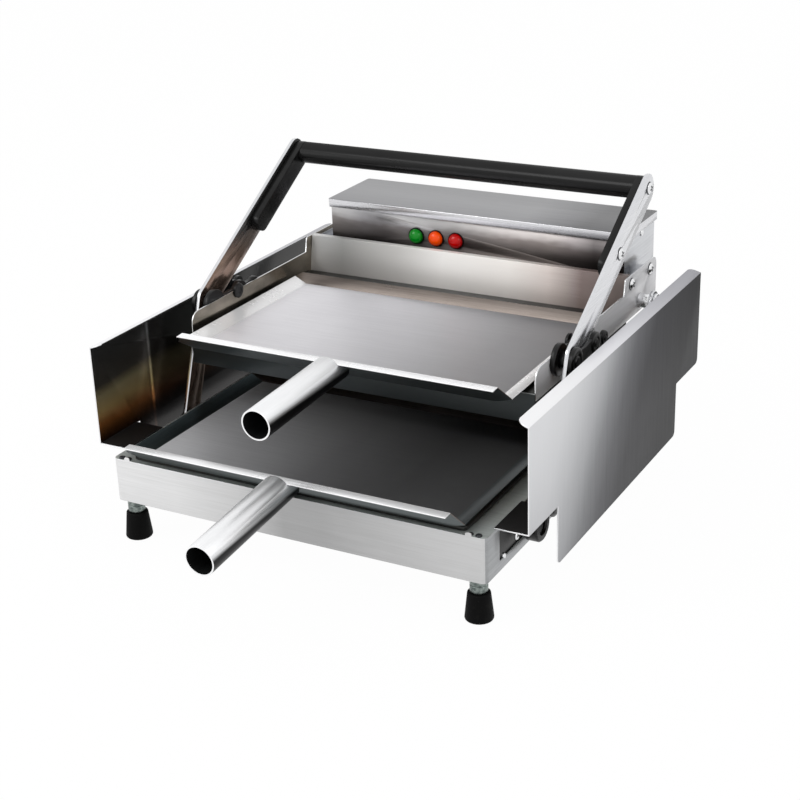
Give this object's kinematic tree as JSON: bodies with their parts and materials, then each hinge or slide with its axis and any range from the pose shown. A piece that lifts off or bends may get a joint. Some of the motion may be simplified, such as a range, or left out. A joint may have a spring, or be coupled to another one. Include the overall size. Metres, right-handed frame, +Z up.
{
  "type": "electric bun grill",
  "caption": "Countertop electric grill for buns: a heated base and a heated deck that swings on equal links by a long bar handle, each with a pull-out tray.",
  "frame": {"origin": "floor level, on the middle plane, halfway between the lower tray's handle end and the lid's rear edge", "axes": "+Z up, -Y towards the operator, +X to the operator's right"},
  "size_m": [0.498, 0.665, 0.3417],
  "materials": {
    "stainless": "brushed stainless sheet",
    "bright_steel": "bright steel bar",
    "plate_steel": "dark heat-proof coating, satin",
    "black_steel": "black satin coating",
    "black_plastic": "black moulding with a soft sheen",
    "rubber": "matt black rubber",
    "zinc": "zinc plated",
    "element": "dark oxidised element sheath",
    "ceramic": "unglazed off-white ceramic",
    "lens_green": "clear green lens",
    "lens_orange": "clear orange lens",
    "lens_red": "clear red lens"
  },
  "bodies": {
    "base": {"base_shell": "stainless", "base_bottom_cover": "stainless", "lower_heating_plate": "plate_steel", "lower_heater": "element", "cable_gland": "black_plastic", "terminal_block": "ceramic", "ferrule_front_left": "zinc", "boot_front_left": "rubber", "ferrule_front_right": "zinc", "boot_front_right": "rubber", "ferrule_rear_left": "zinc", "boot_rear_left": "rubber", "ferrule_rear_right": "zinc", "boot_rear_right": "rubber", "wing_left": "stainless", "wing_right": "stainless", "pivot_plate_left": "black_steel", "pivot_plate_right": "black_steel", "lever_pivot_bolt_left": "black_steel", "lever_pivot_bolt_right": "black_steel", "rear_pivot_bolt_left": "zinc", "rear_pivot_bolt_right": "zinc"},
    "deck": {"deck_fascia": "plate_steel", "deck_heating_plate": "plate_steel", "deck_pan": "plate_steel", "deck_heater": "element", "deck_back_panel": "stainless", "control_box": "stainless", "control_box_lid": "stainless", "switch_housing": "black_plastic", "thermostat": "ceramic", "lamp_green": "lens_green", "lamp_orange": "lens_orange", "lamp_red": "lens_red", "deck_side_left": "stainless", "deck_side_right": "stainless", "link_plate_left": "black_steel", "link_plate_right": "black_steel", "elbow_bolt_left": "zinc", "elbow_bolt_right": "zinc", "rear_link_pin_left": "zinc", "rear_link_pin_right": "zinc", "tab_screw_front_left": "zinc", "tab_screw_front_right": "zinc", "tab_screw_rear_left": "zinc", "tab_screw_rear_right": "zinc"},
    "lever": {"handle": "black_plastic", "lever_arm_left": "bright_steel", "lever_arm_right": "bright_steel", "handle_screw_upper_left": "zinc", "handle_screw_upper_right": "zinc", "handle_screw_lower_left": "zinc", "handle_screw_lower_right": "zinc"},
    "rear_links": {"rear_link_left": "bright_steel", "rear_link_right": "bright_steel"},
    "lower_tray": {"lower_tray": "stainless", "lower_tray_handle": "stainless"},
    "upper_tray": {"upper_tray": "stainless", "upper_tray_handle": "stainless"},
    "switch_rocker": {"switch_rocker": "black_plastic"}
  },
  "joints": [
    {"name": "lever_swing", "type": "hinge", "parent": "base", "child": "lever", "pos_m": [0, -0.03946, 0.072], "axis": [1, 0, 0], "range_deg": [0, 52]},
    {"name": "deck_level", "type": "hinge", "parent": "lever", "child": "deck", "pos_m": [0, 0.00754, 0.203], "axis": [1, 0, 0], "range_deg": [-52, 0]},
    {"name": "rear_link_swing", "type": "hinge", "parent": "base", "child": "rear_links", "pos_m": [0, 0.19554, 0.058], "axis": [1, 0, 0], "range_deg": [0, 52]},
    {"name": "lower_tray_slide", "type": "slide", "parent": "base", "child": "lower_tray", "axis": [0, -1, 0], "range_m": [0, 0.2]},
    {"name": "upper_tray_slide", "type": "slide", "parent": "deck", "child": "upper_tray", "axis": [0, -1, 0], "range_m": [0, 0.2]},
    {"name": "switch_press", "type": "hinge", "parent": "deck", "child": "switch_rocker", "pos_m": [0.123, 0.32744, 0.2383], "axis": [1, 0, 0], "range_deg": [-16, 0]}
  ],
  "couplings": [
    {"joint": "deck_level", "follows": "lever_swing", "ratio": -1},
    {"joint": "rear_link_swing", "follows": "lever_swing", "ratio": 1}
  ]
}
